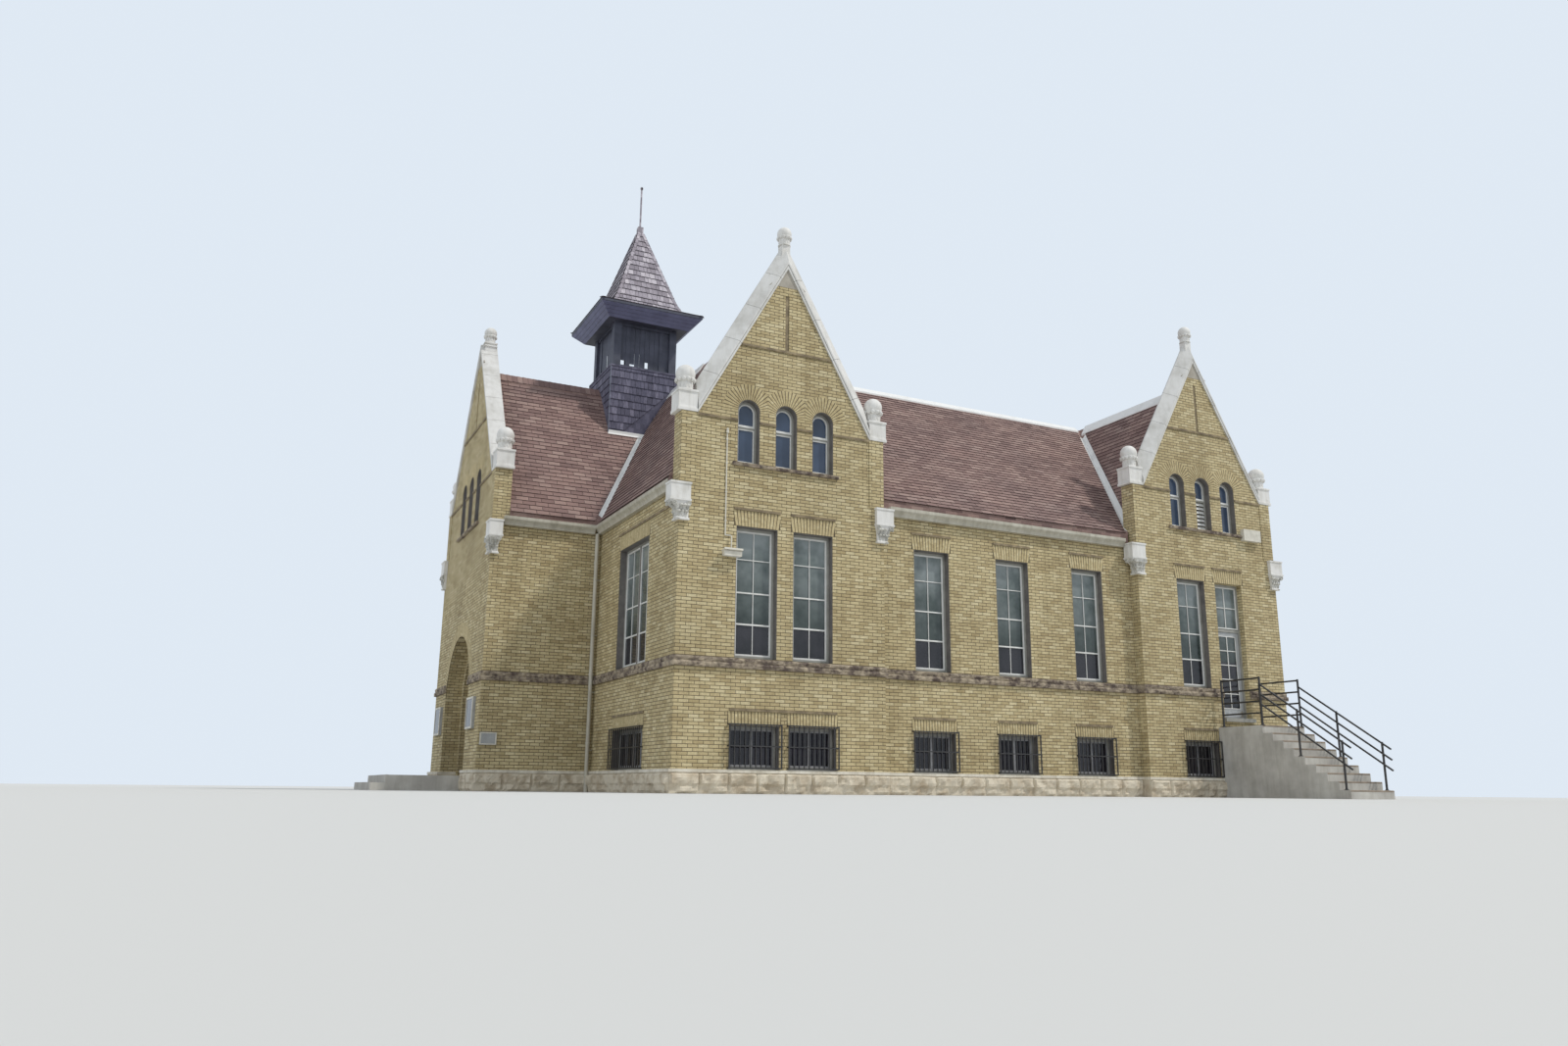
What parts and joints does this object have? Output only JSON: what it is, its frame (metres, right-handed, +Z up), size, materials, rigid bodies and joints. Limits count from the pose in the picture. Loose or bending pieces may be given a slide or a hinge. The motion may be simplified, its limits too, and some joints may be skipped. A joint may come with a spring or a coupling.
{
  "type": "town hall building",
  "caption": "Cream-brick town hall with two gabled front pavilions, a gabled left wing with a portal, a shingled belfry and side steps to a glazed door that swings.",
  "frame": {"origin": "outer front left corner of the left pavilion's walls, on the ground", "axes": "+X to the right along the front, +Y from the front to the back, +Z up"},
  "size_m": [21.2903, 14.5909, 16.8462],
  "materials": {
    "stone": "rock-faced limestone base",
    "limestone": "pale dressed ledge",
    "concrete": "broom-finished concrete",
    "floor_wood": "boards on joists",
    "brick": "cream-yellow brick in running bond",
    "door_wood": "dark varnished wood",
    "rough_stone": "rough dark-edged stone band",
    "white_paint": "white satin paint",
    "glass": "clear window glass",
    "roof_shingle": "red-brown asphalt shingles",
    "white_metal": "white painted sheet",
    "cream_metal": "grey-cream painted gutter",
    "white_stone": "white painted cut stone",
    "wood_shingle": "weathered wood shingles",
    "dark_wood": "dark blue-grey painted boards",
    "grey_paint": "grey painted door leaf",
    "lamp_metal": "grey painted lamp housing",
    "black_paint": "black painted pipe"
  },
  "bodies": {
    "building": {"stone_base": "stone", "ledge": "limestone", "ground_floor": "concrete", "main_floor": "floor_wood", "attic_floor": "floor_wood", "wing_a_front": "brick", "wing_a_side": "brick", "wing_a_rear": "brick", "left_front": "brick", "left_gable": "brick", "left_rear": "brick", "main_front": "brick", "main_rear": "brick", "wing_c_front": "brick", "wing_c_side": "brick", "wing_c_rear": "brick", "portal_orders": "brick", "portal_doors": "door_wood", "portal_landing": "concrete", "stone_courses": "rough_stone", "label_courses": "brick", "frames": "white_paint", "window_grilles": "black_paint", "louvres": "white_paint", "glass_basement": "glass", "glass_main": "glass", "glass_attic": "glass", "roof_wing_a": "roof_shingle", "roof_wing_c": "roof_shingle", "roof_main": "roof_shingle", "roof_left": "roof_shingle", "roof_flashings": "white_metal", "gutters": "cream_metal", "copings": "white_stone", "pinnacles": "white_stone", "corbel_blocks": "white_stone", "tower_base": "wood_shingle", "bell_stage": "dark_wood", "flared_eave": "dark_wood", "spire": "wood_shingle", "display_boards": "grey_paint", "wall_lights": "lamp_metal", "side_steps": "concrete", "side_rails": "black_paint"},
    "side_door": {"side_door": "grey_paint"}
  },
  "joints": [
    {"name": "side_door_hinge", "type": "hinge", "parent": "building", "child": "side_door", "pos_m": [14.443, 0.2283, 1.89], "axis": [0, 0, 1], "range_deg": [0, 95]}
  ]
}
